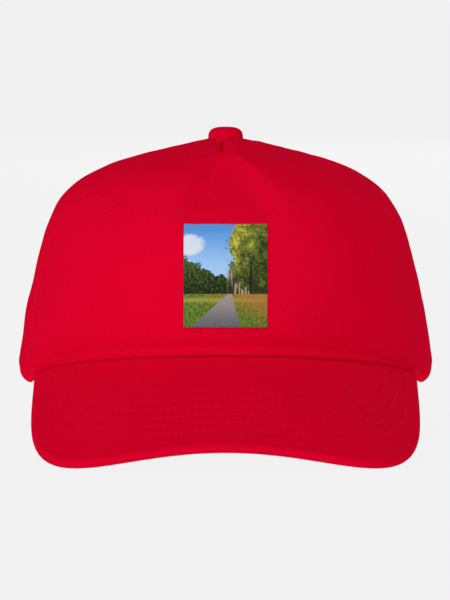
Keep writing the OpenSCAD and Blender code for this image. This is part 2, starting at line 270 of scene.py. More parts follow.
class Sock:
    """A shader socket that adds Math nodes when it is used in an expression."""

    def __init__(self, tree, socket):
        self.tree = tree
        self.socket = socket

    def math(self, operation, *others):
        return self.tree.node("ShaderNodeMath", {"operation": operation}, self, *others)

    def __add__(self, other):
        return self.math("ADD", other)

    def __sub__(self, other):
        return self.math("SUBTRACT", other)

    def __rsub__(self, other):
        return self.tree.node("ShaderNodeMath", {"operation": "SUBTRACT"}, other, self)

    def __mul__(self, other):
        return self.math("MULTIPLY", other)

    def __truediv__(self, other):
        return self.math("DIVIDE", other)

    def __pow__(self, other):
        return self.math("POWER", other)

    __radd__ = __add__
    __rmul__ = __mul__

    def absolute(self):
        return self.math("ABSOLUTE")

    def sine(self):
        return self.math("SINE")

    def ramp(self, low, high):
        """0 below low, 1 above high, and smooth between."""
        return self.tree.node(
            "ShaderNodeMapRange", {"interpolation_type": "SMOOTHSTEP"}, self, low, high, 0.0, 1.0)


class Shader:
    """One material's node tree."""

    def __init__(self, name, **constants):
        self.material = bpy.data.materials.new(name)
        self.material.use_nodes = True
        self.nodes = self.material.node_tree.nodes
        self.links = self.material.node_tree.links
        self.surface = self.nodes["Principled BSDF"]
        for socket, value in constants.items():
            self.surface.inputs[socket.replace("_", " ")].default_value = value

    def node(self, kind, settings=None, *values, out=0, **named):
        """Adds a node: its settings first, then the values or links of its sockets."""
        made = self.nodes.new(kind)
        for key, value in (settings or {}).items():
            setattr(made, key, value)
        pairs = list(zip(made.inputs, values))
        pairs += [(made.inputs[key.replace("_", " ")], value) for key, value in named.items()]
        for socket, value in pairs:
            if isinstance(value, Sock):
                self.links.new(value.socket, socket)
            elif value is not None:
                socket.default_value = value
        return Sock(self, made.outputs[out])

    def set(self, **sockets):
        for name, value in sockets.items():
            self.links.new(value.socket, self.surface.inputs[name.replace("_", " ")])

    def coordinates(self, source="UV"):
        return self.node("ShaderNodeTexCoord", out=source)

    def split(self, vector):
        made = self.node("ShaderNodeSeparateXYZ", None, vector)
        outputs = made.socket.node.outputs
        return [Sock(self, outputs[axis]) for axis in "XYZ"]

    def noise(self, vector, scale, detail=2.0, roughness=0.5):
        return self.node(
            "ShaderNodeTexNoise", None, Vector=vector, Scale=scale, Detail=detail, Roughness=roughness)

    def mix(self, factor, first, second):
        made = self.nodes.new("ShaderNodeMix")
        made.data_type = "RGBA"
        for index, value in ((0, factor), (6, first), (7, second)):
            socket = made.inputs[index]
            if isinstance(value, Sock):
                self.links.new(value.socket, socket)
            elif index == 0:
                socket.default_value = value
            else:
                socket.default_value = (*value, 1)
        return Sock(self, made.outputs[2])

    def bump(self, height, distance, strength):
        return self.node("ShaderNodeBump", None, Strength=strength, Distance=distance, Height=height)


def shaded(color, factor):
    return tuple(min(1.0, factor * c) for c in color)


# ---- materials


def twill(name, color, wale=1.33 * MM, angle=62.0, contrast=0.085, fuzz=0.14):
    """Brushed cotton twill. Its UV map is in metres of cloth."""
    shader = Shader(
        name, Roughness=0.9, Specular_IOR_Level=0.0, Sheen_Weight=0.03, Sheen_Roughness=0.5,
        Sheen_Tint=(1.0, 0.10, 0.16, 1.0))
    uv = shader.coordinates()
    u, v, _ = shader.split(uv)
    wander = shader.noise(uv, 160.0, 2.0) - 0.5
    along = (u * math.sin(math.radians(angle)) + v * math.cos(math.radians(angle))) / wale
    ridge = ((along + wander * 0.35) * (2 * math.pi)).sine() * 0.5 + 0.5
    weft = ((v / (0.42 * MM) + wander * 0.8) * (2 * math.pi)).sine() * 0.5 + 0.5
    fibre = shader.noise(uv, 2600.0, 3.0, 0.6)
    patch = shader.noise(uv, 22.0, 3.0)
    value = ridge * contrast + weft * (0.3 * contrast) + fibre * fuzz + patch * 0.10
    shade = value + (1.0 - 0.5 * (1.3 * contrast + fuzz + 0.10))
    shader.set(
        Base_Color=shader.mix(shade.ramp(0.55, 1.45), shaded(color, 0.55), shaded(color, 1.35)),
        Normal=shader.bump(ridge * 0.7 + weft * 0.3 + fibre * 0.5, 0.12 * MM, 0.55))
    return shader.material


def plain_weave(name, color, pitch=0.6 * MM, contrast=0.2):
    """A plain weave, such as tape, sweatband or buckram."""
    shader = Shader(name, Roughness=0.9, Specular_IOR_Level=0.05)
    uv = shader.coordinates()
    u, v, _ = shader.split(uv)
    warp = (u * (2 * math.pi / pitch)).sine()
    weft = (v * (2 * math.pi / pitch)).sine()
    cloth = warp * weft * 0.5 + 0.5
    fibre = shader.noise(uv, 2200.0, 3.0, 0.6)
    shade = cloth * contrast + fibre * 0.2 + (0.9 - 0.5 * contrast)
    shader.set(
        Base_Color=shader.mix(shade.ramp(0.6, 1.4), shaded(color, 0.6), shaded(color, 1.3)),
        Normal=shader.bump(cloth + fibre * 0.4, 0.1 * MM, 0.6))
    return shader.material


def thread(name, color):
    """Polyester sewing thread with a fine twist."""
    shader = Shader(name, Roughness=0.7, Specular_IOR_Level=0.04)
    x, y, z = shader.split(shader.coordinates("Object"))
    twist = ((x + y + z) * (2 * math.pi / (0.45 * MM))).sine() * 0.5 + 0.5
    shader.set(
        Base_Color=shader.mix(twist, shaded(color, 0.75), color),
        Normal=shader.bump(twist, 0.05 * MM, 0.4))
    return shader.material


def brushed_metal(name, color, roughness=0.32):
    """Plated sheet metal with a fine grain and a little wear."""
    shader = Shader(name, Metallic=1.0)
    place = shader.coordinates("Object")
    stretched = shader.node("ShaderNodeMapping", None, Vector=place, Scale=(300.0, 300.0, 6000.0))
    grain = shader.noise(stretched, 1.0, 3.0)
    worn = shader.noise(place, 180.0, 4.0)
    shader.set(
        Base_Color=shader.mix(worn, shaded(color, 0.8), color),
        Roughness=grain * 0.22 + worn * 0.12 + (roughness - 0.17),
        Normal=shader.bump(grain, 0.02 * MM, 0.35))
    return shader.material


def moulded_sheet(name, color):
    """Plastic sheet with a fine grain."""
    shader = Shader(name, Roughness=0.5)
    grain = shader.noise(shader.coordinates("Object"), 900.0, 3.0)
    shader.set(
        Base_Color=shader.mix(grain, shaded(color, 0.9), color),
        Normal=shader.bump(grain, 0.03 * MM, 0.3))
    return shader.material


def landscape(name):
    """A made-up park view: sky and cloud, a tall autumn tree, bushes, lawns with fallen leaves and a path."""
    shader = Shader(name, Roughness=0.62, Specular_IOR_Level=0.1)
    uv = shader.coordinates()
    mix = shader.mix
    x, y, _ = shader.split(uv)
    soft = shader.noise(uv, 4.0, 5.0, 0.6)
    clump = shader.noise(uv, 9.0, 4.0, 0.6)
    leafy = shader.noise(uv, 34.0, 5.0, 0.75)
    fine = shader.noise(uv, 90.0, 3.0, 0.7)
    upright = shader.node("ShaderNodeMapping", None, Vector=uv, Scale=(24.0, 2.2, 1.0))
    stems = shader.noise(upright, 1.0, 3.0, 0.6)

    sky = mix(y.ramp(0.40, 0.95), (0.36, 0.60, 0.90), (0.10, 0.31, 0.74))
    puff = 1.0 - (((x - 0.08) * 1.1) ** 2.0 + ((y - 0.74) * 1.6) ** 2.0).ramp(0.0, 0.075)
    cloud = (puff * 0.9 + (soft - 0.5) * 1.3).ramp(0.30, 0.75)
    picture = mix(cloud * 0.9, sky, (0.72, 0.76, 0.84))

    far_wood = 1.0 - (y + (leafy - 0.5) * 0.10 - x * 0.05).ramp(0.36, 0.40)
    wood = mix(leafy.ramp(0.4, 0.65), (0.02, 0.035, 0.02), (0.20, 0.17, 0.06))
    picture = mix(far_wood, picture, wood)

    under = (x + (clump - 0.5) * 0.2).ramp(0.50, 0.56) * (1.0 - y.ramp(0.46, 0.56)) * y.ramp(0.22, 0.24)
    gaps = mix(stems.ramp(0.44, 0.54), (0.022, 0.017, 0.012), (0.40, 0.34, 0.20))
    gaps = mix(fine.ramp(0.5, 0.7) * 0.6, gaps, (0.20, 0.20, 0.05))
    picture = mix(under, picture, gaps)

    reach = ((x - 0.98) * 1.05) ** 2.0 + ((y - 0.70) * 0.92) ** 2.0
    reach = reach + (clump - 0.5) * 0.30 + (leafy - 0.5) * 0.10
    tree = 1.0 - reach.ramp(0.20, 0.225)
    lit = (0.72 - x) * 0.9 + (y - 0.62) * 0.7 + (clump - 0.5) * 1.6 + (leafy - 0.5) * 1.5 + 0.42
    leaf = mix(lit.ramp(0.05, 0.50), (0.018, 0.032, 0.008), (0.13, 0.16, 0.025))
    leaf = mix(lit.ramp(0.45, 0.95), leaf, (0.62, 0.56, 0.06))
    leaf = mix(fine.ramp(0.56, 0.70) * 0.55, leaf, (0.42, 0.40, 0.10))
    picture = mix(tree, picture, leaf)
    trunk = 1.0 - (x - 0.80 + (soft - 0.5) * 0.04).absolute().ramp(0.010, 0.022)
    trunk = trunk * (1.0 - y.ramp(0.46, 0.62))
    picture = mix(trunk * y.ramp(0.20, 0.22), picture, (0.020, 0.015, 0.010))

    hedge_top = y + (clump - 0.5) * 0.34 + (leafy - 0.5) * 0.10 + x * 0.34
    hedge = (1.0 - hedge_top.ramp(0.575, 0.60)) * (1.0 - x.ramp(0.50, 0.58)) * y.ramp(0.255, 0.27)
    bush = mix((leafy + (y - 0.40) * 0.5).ramp(0.40, 0.70), (0.006, 0.014, 0.006), (0.10, 0.15, 0.025))
    picture = mix(hedge, picture, bush)

    ground = 1.0 - (y + (leafy - 0.5) * 0.012).ramp(0.262, 0.272)
    lawn = mix(leafy.ramp(0.36, 0.62), (0.035, 0.085, 0.010), (0.17, 0.27, 0.030))
    lawn = mix((1.0 - (y - 0.215).absolute().ramp(0.004, 0.03)) * 0.6, lawn, (0.40, 0.42, 0.10))
    fallen = (fine + (x - 0.6) * 0.25 + (y - 0.13) * 0.9).ramp(0.52, 0.64)
    lawn = mix(fallen * 0.9, lawn, (0.44, 0.19, 0.045))
    picture = mix(ground, picture, lawn)
    half_width = (0.268 - y) * 1.02 + 0.02
    middle = 0.55 - (0.268 - y) * 0.62
    edge = (x - middle).absolute() - half_width + (leafy - 0.5) * 0.03
    paving = mix(y.ramp(0.0, 0.26), (0.115, 0.12, 0.145), (0.34, 0.31, 0.27))
    paving = mix(fine.ramp(0.45, 0.65) * 0.35, paving, (0.30, 0.29, 0.30))
    picture = mix((1.0 - edge.ramp(-0.012, 0.012)) * ground, picture, paving)

    weave = shader.noise(shader.coordinates("Object"), 1500.0, 2.0)
    shader.set(Base_Color=picture, Normal=shader.bump(weave, 0.05 * MM, 0.4))
    return shader.material


RED = (0.80, 0.0005, 0.026)
# The crown's red scaled by 0.925: painted shade for the visor, which faces up and gets less light than the
# crown's front. The strap takes the same darkened red.
PAINTED_SHADE_RED = (0.74, 0.0005, 0.024)
MATERIALS = {
    "crown": twill("red twill", RED),
    # Visor and strap twill use the red darkened by painted shade.
    "visor": twill("visor twill", PAINTED_SHADE_RED, wale=0.9 * MM, angle=28.0, contrast=0.07),
    "strap": twill("strap twill", PAINTED_SHADE_RED, wale=0.9 * MM, angle=45.0),
    "tape": plain_weave("seam tape", (0.58, 0.001, 0.022), 0.5 * MM),
    "sweatband": plain_weave("sweatband cotton", (0.66, 0.001, 0.024), 0.55 * MM, 0.15),
    "buckram": plain_weave("buckram", (0.80, 0.78, 0.72), 1.3 * MM, 0.5),
    "label": plain_weave("label satin", (0.86, 0.86, 0.83), 0.3 * MM, 0.08),
    "thread": thread("red thread", (0.84, 0.002, 0.032)),
    "label thread": thread("white thread", (0.8, 0.8, 0.78)),
    "print": landscape("park print"),
    "steel": brushed_metal("nickel plate", (0.72, 0.70, 0.67)),
    "tin": brushed_metal("tinned steel", (0.66, 0.67, 0.68), 0.4),
    "board": moulded_sheet("visor board plastic", (0.82, 0.82, 0.80)),
}

# ---- mesh helpers


def place(piece, body, slot, *nodes):
    """Sets what a piece rides on, and hides the CAD nodes that it stands for. The slot is not used."""
    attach(piece, body)
    if nodes:
        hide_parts(*nodes)


def add_mesh(name, points, faces, material, uv=None):
    """A smooth mesh object from points, faces and a UV for each point."""
    mesh = bpy.data.meshes.new(name)
    mesh.from_pydata(np.asarray(points, float).reshape(-1, 3).tolist(), [], faces)
    mesh.materials.append(MATERIALS[material])
    if uv is not None:
        layer = mesh.uv_layers.new(name="cloth")
        corners = np.zeros(len(mesh.loops), int)
        mesh.loops.foreach_get("vertex_index", corners)
        layer.data.foreach_set("uv", np.asarray(uv, float).reshape(-1, 2)[corners].ravel())
    mesh.shade_smooth()
    made = bpy.data.objects.new(name, mesh)
    bpy.context.scene.collection.objects.link(made)
    return made


def quads(n, m, offset=0, flip=False, closed=False):
    """Quads of an n by m grid of points, numbered row by row."""
    i, j = np.meshgrid(np.arange(n - 1), np.arange(m if closed else m - 1), indexing="ij")
    k = (j + 1) % m
    q = np.stack([i * m + j, i * m + k, (i + 1) * m + k, (i + 1) * m + j], -1).reshape(-1, 4) + offset
    return (q[:, ::-1] if flip else q).tolist()


def shell(name, outside, inside, uv, material):
    """A closed sheet between two grids of points. Faces of the first grid look outwards."""
    n, m = outside.shape[:2]
    count = n * m
    edge = np.concatenate([
        np.arange(m), np.arange(1, n) * m + m - 1,
        (n - 1) * m + np.arange(m - 2, -1, -1), np.arange(n - 2, 0, -1) * m])
    after = np.roll(edge, -1)
    sides = np.stack([after, edge, edge + count, after + count], -1).tolist()
    faces = quads(n, m) + quads(n, m, count, flip=True) + sides
    return add_mesh(name, np.stack([outside, inside]), faces, material, np.stack([uv, uv]))


def cloth_piece(name, look, slot, node, outside, inside, uv, flat, body="crown", **area):
    """A closed sheet of cloth, riding on a body. Its flat size is not used."""
    made = shell(name, outside, inside, uv, look)
    place(made, body, slot, node)


def waves(u, v, size, seed, count=14):
    """Soft random ripples about 1 high and `size` metres long."""
    draw = np.random.default_rng(seed)
    total = np.zeros(np.broadcast(u, v).shape)
    for _ in range(count):
        heading = draw.uniform(0, 2 * math.pi)
        length = size * draw.uniform(0.6, 1.7)
        phase = draw.uniform(0, 2 * math.pi)
        total += np.sin((u * math.cos(heading) + v * math.sin(heading)) * 2 * math.pi / length + phase)
    return total / math.sqrt(count)


# ---- stitching by geometry nodes


def stitch_nodes():
    """Geometry nodes that set one thread capsule on every point, along its 'along' attribute."""
    tree = bpy.data.node_groups.new("stitches", "GeometryNodeTree")
    inputs = {"Geometry": "Geometry", "Stitch Length": "Float", "Thread Radius": "Float", "Thread": "Material"}
    for label, kind in inputs.items():
        tree.interface.new_socket(label, in_out="INPUT", socket_type="NodeSocket" + kind)
    tree.interface.new_socket("Geometry", in_out="OUTPUT", socket_type="NodeSocketGeometry")

    def add(kind, sockets, **settings):
        node = tree.nodes.new(kind)
        for key, value in settings.items():
            setattr(node, key, value)
        for key, value in sockets.items():
            if isinstance(value, bpy.types.NodeSocket):
                tree.links.new(value, node.inputs[key])
            else:
                node.inputs[key].default_value = value
        return node.outputs

    given = add("NodeGroupInput", {})
    thick = given["Thread Radius"]
    half = add("ShaderNodeMath", {0: given["Stitch Length"], 1: 0.5}, operation="MULTIPLY")
    size = add("ShaderNodeCombineXYZ", {"X": thick, "Y": thick, "Z": half[0]})
    ball = add("GeometryNodeMeshUVSphere", {"Segments": 6, "Rings": 5, "Radius": 1.0})
    capsule = add("GeometryNodeTransform", {"Geometry": ball["Mesh"], "Scale": size[0]})
    along = add("GeometryNodeInputNamedAttribute", {"Name": "along"}, data_type="FLOAT_VECTOR")
    turn = add("FunctionNodeAlignRotationToVector", {"Vector": along["Attribute"]}, axis="Z")
    each = add("GeometryNodeInstanceOnPoints", {
        "Points": given["Geometry"], "Instance": capsule["Geometry"], "Rotation": turn["Rotation"]})
    real = add("GeometryNodeRealizeInstances", {"Geometry": each["Instances"]})
    dress = add("GeometryNodeSetMaterial", {"Geometry": real["Geometry"], "Material": given["Thread"]})
    add("NodeGroupOutput", {"Geometry": dress["Geometry"]})
    return tree


STITCHES = stitch_nodes()


def sew(name, rows, length, thread_radius, material="thread"):
    """One mesh of stitches. Each row holds their points and the direction along each."""
    points, along = (np.concatenate(part) for part in zip(*rows))
    mesh = bpy.data.meshes.new(name + " places")
    mesh.from_pydata(points.tolist(), [], [])
    mesh.attributes.new("along", "FLOAT_VECTOR", "POINT").data.foreach_set("vector", along.ravel())
    places = bpy.data.objects.new(name + " places", mesh)
    bpy.context.scene.collection.objects.link(places)
    modifier = places.modifiers.new("stitches", "NODES")
    modifier.node_group = STITCHES
    inputs = {i.name: i.identifier for i in STITCHES.interface.items_tree if i.in_out == "INPUT"}
    modifier[inputs["Stitch Length"]] = length
    modifier[inputs["Thread Radius"]] = thread_radius
    modifier[inputs["Thread"]] = MATERIALS[material]
    seen = places.evaluated_get(bpy.context.evaluated_depsgraph_get())
    baked = bpy.data.meshes.new_from_object(seen)
    baked.name = name
    baked.shade_smooth()
    places.modifiers.clear()
    bpy.data.objects.remove(places)
    bpy.data.meshes.remove(mesh)
    made = bpy.data.objects.new(name, baked)
    bpy.context.scene.collection.objects.link(made)
    return made


def spaced(path, pitch):
    """Points at an even pitch along a polyline, with the direction at each."""
    run = run_along(path)
    at = np.arange(pitch / 2, run[-1], pitch)
    points = np.stack([np.interp(at, run, path[:, k]) for k in range(3)], -1)
    ahead = np.stack([np.interp(at + 0.3 * MM, run, path[:, k]) for k in range(3)], -1)
    behind = np.stack([np.interp(at - 0.3 * MM, run, path[:, k]) for k in range(3)], -1)
    return points, unit(ahead - behind)


def sew_lines(name, paths, body, pitch=STITCH_PITCH, length=STITCH_LENGTH, thread_radius=0.24 * MM):
    """Rows of lockstitch along polylines, riding on a body."""
    place(sew(name, [spaced(path, pitch) for path in paths], length, thread_radius), body, "thread")


# ---- crown panels


def front_seam(s):
    """Angle of the front seams ahead of the cap's side. They turn back on their way up."""
    return FRONT_SEAM_ANGLE - FRONT_SEAM_TURN * smooth(s, 0.28, 0.98)


SEAMS = {
    "left_front": lambda s: 180 + front_seam(s),
    "right_front": lambda s: 360 - front_seam(s),
    "right_rear": lambda s: 360 + REAR_SEAM_ANGLE + 0 * s,
    "left_rear": lambda s: 180 - REAR_SEAM_ANGLE + 0 * s,
    "back": lambda s: BACK + 0 * s,
}


def seam_fold(distance):
    """Depth of the cloth beside a seam: it turns in at the seam and dips at the stitch row."""
    turned = 0.85 * MM * np.clip(1 - distance / (1.5 * MM), 0, 1) ** 2
    dip = 0.22 * MM * bell(distance - SEAM_STITCH, 0.9 * MM)
    return turned + dip - 0.12 * MM * bell(distance - 1.9 * MM, 0.8 * MM)


def behind(t):
    """Degrees behind the cap's side. It is negative ahead of the side."""
    return np.degrees(np.arcsin(sind(t)))


def rim_lift(t):
    """How far the cloth's edge stops above the frame's rim: higher at the ears, lower at the visor's
    corners and over the ends of the straps."""
    d = behind(t)
    return (6.0 * MM * smooth(d, -16, 4) * (1 - smooth(d, 18, 34)) - 2.4 * MM * bell(d + 18, 9)
            - 1.3 * MM * smooth(d, 32, 42) * (1 - smooth(d, 52, 60)))


def rim_curl(t, h):
    """Depth of the soft curl of the cloth's edge over the ears."""
    d = behind(t)
    return 3.4 * MM * smooth(d, -30, -14) * (1 - smooth(d, 24, 40)) * np.clip(1 - h / (6.5 * MM), 0, 1) ** 2


def rim_level(t):
    """The cloth's lowest level away from the back opening."""
    return level_above(t, rim_lift(t))


def rim_fold(h):
    """Depth of the cloth above the rim: a rolled edge, then the groove of its stitch row."""
    turned = 0.8 * MM * np.clip(1 - h / (1.2 * MM), 0, 1) ** 2
    return turned - 0.30 * MM * bell(h - 1.9 * MM, 1.3 * MM) + 0.2 * MM * bell(h - 4.4 * MM, 1.2 * MM)


def visor_seam_roll(h):
    """Depth of the front cloth above the visor: a puffed roll with a soft groove over it."""
    tuck = 1.3 * MM * np.clip(1 - h / (0.7 * MM), 0, 1.6) ** 1.5
    groove = 1.45 * MM * bell(h - 3.5 * MM, np.where(h < 3.5 * MM, 1.5 * MM, 3.4 * MM))
    return tuck + groove - 1.15 * MM * bell(h - 1.2 * MM, 1.15 * MM)


def front_dart(x, to_top):
    """Depth of the front panel's top dart: a crease that bends away from the button, and its pleat."""
    line = 2.9 * MM - 4.4 * MM * smooth(to_top, 4 * MM, 22 * MM)
    fade = smooth(to_top, 2 * MM, 6 * MM) * (1 - smooth(to_top, 26 * MM, 38 * MM))
    aside = x - line
    crease = 2.0 * MM * bell(aside, np.where(aside < 0, 0.95 * MM, 0.5 * MM))
    pleat = smooth(aside, 0.1 * MM, 1.3 * MM) * np.exp(-np.maximum(aside, 0) / (13 * MM))
    bulge = pleat * smooth(to_top, 5 * MM, 15 * MM) * (1 - smooth(to_top, 23 * MM, 33 * MM))
    return fade * crease - 2.2 * MM * bulge


def front_fall(x, s):
    """Depth of the flat, forward-facing fall of cloth below the dart, which widens downwards."""
    f = np.clip((s - 0.34) / 0.435, 0, 1)
    half = 4 * MM + 17 * MM * np.clip((0.775 - s) / 0.33, 0, 1)
    return 6.4 * MM * 4 * f * (1 - f) * (0.55 + 0.45 * f) * (1 - smooth(np.abs(x), 0.62 * half, 1.45 * half))


def front_shape(t, s, to_top):
    """Depth of the front panel's own fall and crease."""
    x = crown(t, s)[..., 0]
    return front_fall(x, s) + front_dart(x, to_top)


def cloth_slack(u, v, h, to_seam, seed):
    """Height of the cloth's soft unevenness between its seams."""
    away = smooth(to_seam, 2 * MM, 22 * MM) * smooth(h, 4 * MM, 22 * MM)
    broad = PANEL_SLACK * away * waves(u, v, 46 * MM, seed)
    return broad + 0.10 * MM * smooth(h, 3 * MM, 12 * MM) * waves(u, v, 13 * MM, seed + 50)


def crown_panel(name, node, start, end, low_of, seed, columns=None):
    """One cloth panel between two seams. low_of gives its lowest level at each angle."""
    is_front = node == "front_panel"
    rim_start, rim_end = start(0.0), end(0.0)
    middle = (rim_start + rim_end) / 2
    base = levels_at(middle, 0.7 * PANEL_STEP if is_front else PANEL_STEP, 0.35 * MM, 9 * MM)
    if is_front:
        base = np.r_[base[1] * np.array([-3.0, -2.0, -1.0]), base]
    fraction = base / base[-1]
    if columns is None:
        columns = np.linspace(0, 1, int(np.radians(rim_end - rim_start) * HALF_L / PANEL_STEP))
    at_rim = rim_start + (rim_end - rim_start) * columns
    low = low_of(at_rim)
    turned_in = 1 - 0.93 * smooth(behind(at_rim), -34, -22)
    s = low + (base[-1] - low) * np.where(fraction[:, None] < 0, turned_in, 1) * fraction[:, None]
    t0, t1 = beside(start(s), s, 0.06 * MM), beside(end(s), s, -0.06 * MM)
    t = t0 + (t1 - t0) * columns[None, :]
    face = crown(t, s)
    h = np.concatenate([
        np.zeros((1, len(columns))), np.cumsum(np.linalg.norm(np.diff(face, axis=0), axis=-1), axis=0)])
    if is_front:
        h = h - h[3]
    u = np.radians(t - middle) * radius(t, s)
    v = h + np.linalg.norm(crown(t[0], low) - crown(t[0], 0 * low), axis=-1)[None, :]
    to_seam = np.minimum(np.radians(t - start(s)), np.radians(end(s) - t)) * radius(t, s)
    depth = seam_fold(to_seam) * (0.3 + 0.7 * smooth(h, 2 * MM, 12 * MM)) + rim_curl(t, h)
    depth = depth - cloth_slack(u, v, h, to_seam, seed)
    if is_front:
        over_visor = 1 - smooth(behind(t), -34, -22)
        depth = depth + over_visor * visor_seam_roll(h) + (1 - over_visor) * rim_fold(h)
        depth = depth + front_shape(t, s, h.max(0, keepdims=True) - h)
    else:
        depth = depth + rim_fold(h)
    width, length = float(np.ptp(u[0])), float(v[-1].max())
    cloth_piece(
        name, "crown", "crown_twill", node, wall(t, s, depth), wall(t, s, depth + 0.75 * MM),
        np.stack([u, v], -1), (width, length), area=round(0.64 * width * length, 5))


def arch_level(t):
    """The level where the back opening's edge crosses the wall, at each angle."""
    s = np.linspace(0, 0.5, 400)
    t = np.atleast_1d(t)
    p = crown(t[:, None], s[None, :])
    centre_z = ARCH_H - ARCH_W / 2
    inside = np.hypot(p[..., 0], np.maximum(p[..., 2] - centre_z, 0)) < ARCH_W / 2
    last = np.where(inside.any(1), inside.shape[1] - 1 - inside[:, ::-1].argmax(1), 0)
    level = s[last]
    for k in np.flatnonzero(last > 0):
        a, b = s[last[k]], s[min(last[k] + 1, len(s) - 1)]
        for _ in range(12):
            m = (a + b) / 2
            q = crown(t[k], m)
            if math.hypot(q[0], max(q[2] - centre_z, 0)) < ARCH_W / 2:
                a = m
            else:
                b = m
        level[k] = (a + b) / 2
    return level


def back_rim_level(t):
    """A back panel's lowest level: the opening's edge, or the rim that it shares with the side panel."""
    opening = arch_level(t)
    return np.where(opening > 0, opening, rim_level(t))


def back_columns(flip):
    """Columns of a back panel, close together where the opening's edge is steep."""
    span = 90 - REAR_SEAM_ANGLE
    over = np.degrees(np.arcsin(ARCH_W / 2 / HALF_W * np.sin(np.linspace(0, math.pi / 2, 44)))) / span
    past = np.r_[over[-1] + 0.004, np.linspace(over[-1] + 0.012, 1, 26)]
    columns = np.r_[over, past]
    return 1 - columns[::-1] if flip else columns


FRONT_SEED = 3
crown_panel(
    "front_panel_cloth", "front_panel", SEAMS["left_front"], SEAMS["right_front"], rim_level, FRONT_SEED)
crown_panel("left_side_cloth", "left_side_panel", SEAMS["left_rear"], SEAMS["left_front"], rim_level, 5)
crown_panel("right_side_cloth", "right_side_panel", SEAMS["right_front"], SEAMS["right_rear"], rim_level, 7)
crown_panel(
    "left_back_cloth", "left_back_panel", SEAMS["back"], SEAMS["left_rear"], back_rim_level, 9,
    back_columns(False))
crown_panel(
    "right_back_cloth", "right_back_panel", SEAMS["right_rear"], lambda s: BACK + 360 + 0 * s,
    back_rim_level, 11, back_columns(True))
arch_top = float(arch_level(BACK)[0])


def seam_rows():
    """Twin rows of topstitching beside each crown seam."""
    paths = []
    for label, t in SEAMS.items():
        low = arch_top + 0.05 if label == "back" else 0.03
        for side in (-1, 1):
            s = np.linspace(low, 0.955, 260)
            paths.append(wall(beside(t(s), s, side * SEAM_STITCH), s, np.full(len(s), STITCH_SUNK)))
    return paths


sew_lines("seam_topstitching", seam_rows(), "crown")

# ---- crown lining


def seam_tape_piece(name, node, seam, low):
    """A folded tape over a seam, inside the crown, with two rows of stitches."""
    s = levels_at(seam(0.5), 2.2 * MM, top=0.95)
    s = s[s >= low]
    t = seam(s)
    half = np.minimum(TAPE_W / 2, 0.22 * share(t, s) * HALF_W)
    x = np.linspace(-1, 1, 15)
    across = half[:, None] * x[None, :]
    angle = beside(t[:, None], s[:, None], across)
    level = s[:, None] + 0 * angle
    bulge = 0.12 * MM * np.cos(x * math.pi * 1.5)[None, :] + 0 * angle
    edge = 0.25 * MM * np.abs(x)[None, :] ** 8 + 0 * angle
    run = run_along(crown(t, s))
    length = float(run[-1])
    cloth_piece(
        name, "tape", "tape", node,
        wall(angle, level, LINING_IN + edge), wall(angle, level, LINING_IN + TAPE_T - edge + bulge),
        np.stack([across, run[:, None] + 0 * angle], -1), (TAPE_W, length),
        area=round(0.9 * TAPE_W * length, 6))
    depth = LINING_IN + TAPE_T + 0.1 * MM
    return [wall(beside(t, s, k * 0.62 * half), s, np.full(len(s), depth)) for k in (-1, 1)]


tape_rows = []
for label, seam in SEAMS.items():
    tape_low = arch_top + 0.022 if label == "back" else 0.055
    tape_rows += seam_tape_piece(label + "_tape", label + "_seam_tape", seam, tape_low)
sew_lines("tape_stitching", tape_rows, "crown")


def stiffener_piece():
    """Buckram behind the front panel."""
    s = levels_at(FRONT, 3 * MM, top=0.83)[1:, None]
    beside_tape = TAPE_W / 2 + 0.7 * MM
    start = beside(SEAMS["left_front"](s), s, beside_tape)
    end = beside(SEAMS["right_front"](s), s, -beside_tape)
    t = start + (end - start) * np.linspace(0, 1, 70)[None, :]
    s = s + 0 * t
    u = np.radians(t - FRONT) * radius(t, s)
    run = run_along(crown(FRONT, s[:, 0]))
    uv = np.stack([u, run[:, None] + 0 * t], -1)
    follow = LINING_IN + 0.9 * MM + front_fall(crown(t, s)[..., 0], s)
    width, length = float(np.ptp(u[0])), float(run[-1])
    cloth_piece(
        "front_buckram", "buckram", "stiffener", "front_stiffener", wall(t, s, follow),
        wall(t, s, follow + 0.4 * MM), uv, (width, length), area=round(0.75 * width * length, 5))


stiffener_piece()


def pocket(t):
    """How far the sweatband stands off the wall behind the strap's sewn ends."""
    return 2.7158 * MM * smooth(sind(t), 0.36, 0.66)


def band_depth(t):
    """Depth of the sweatband's outer side."""
    return LINING_IN + TAPE_T + 0.4 * MM + pocket(t)


def band_place(t, h, depth):
    """A point of the sweatband: it follows the cloth's edge round the ears."""
    lift = rim_lift(t) * (1 - 0.6 * smooth(h, 5 * MM, 30 * MM))
    return wall(t, level_above(t, h + lift), depth + rim_curl(t, h))


